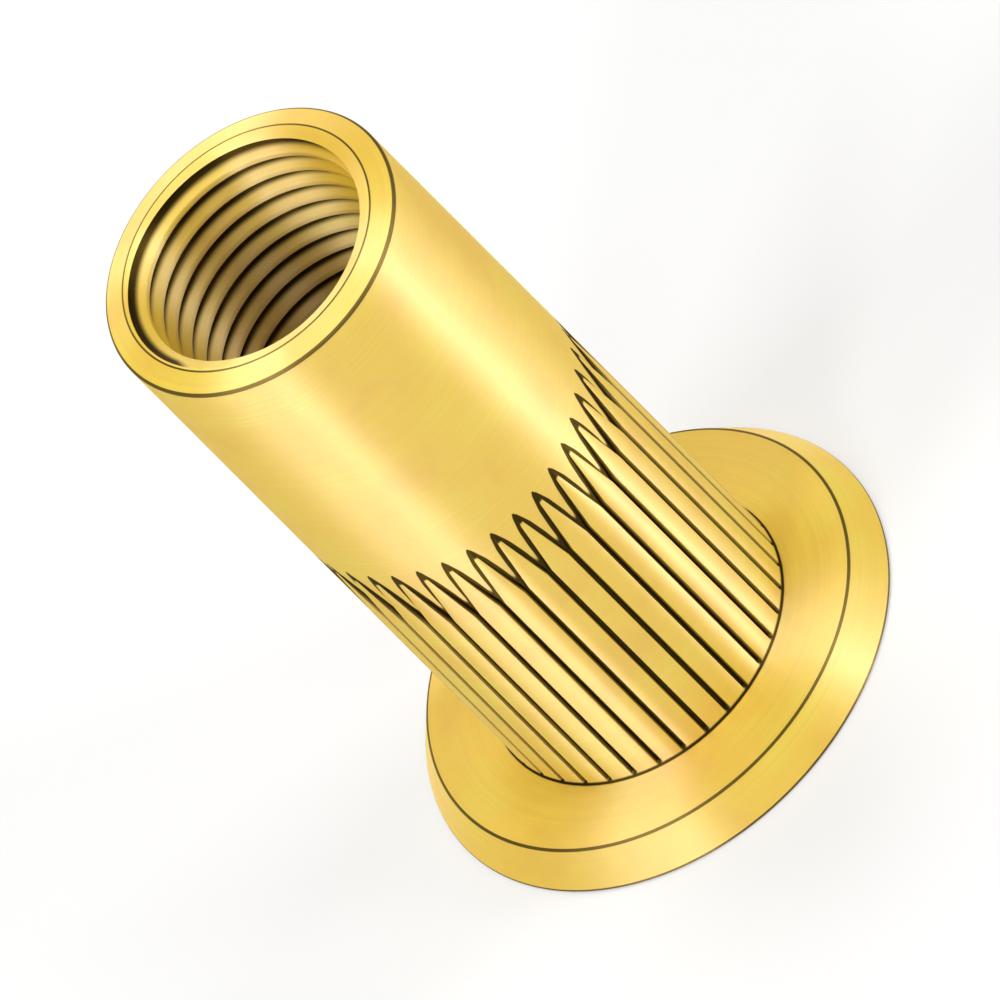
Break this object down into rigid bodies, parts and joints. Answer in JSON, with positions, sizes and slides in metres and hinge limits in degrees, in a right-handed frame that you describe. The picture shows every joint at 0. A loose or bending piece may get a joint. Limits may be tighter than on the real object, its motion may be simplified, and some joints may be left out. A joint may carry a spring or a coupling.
{
  "type": "rivet nut",
  "caption": "Open-end rivet nut: round shank with pointed ribs flush with it, a large bevelled flange, and a fine thread in the far end behind a wider collapse bore.",
  "frame": {"origin": "centre of the flange's outer face, on which the nut stands", "axes": "+Z along the nut's axis, from the flange to the open end of the shank"},
  "size_m": [0.0192, 0.0192, 0.0288],
  "materials": {
    "yellow_zinc": "carbon steel, zinc plated and yellow passivated, satin with a faint rainbow cast"
  },
  "bodies": {
    "root": {"rivet_nut": "yellow_zinc"}
  },
  "joints": []
}
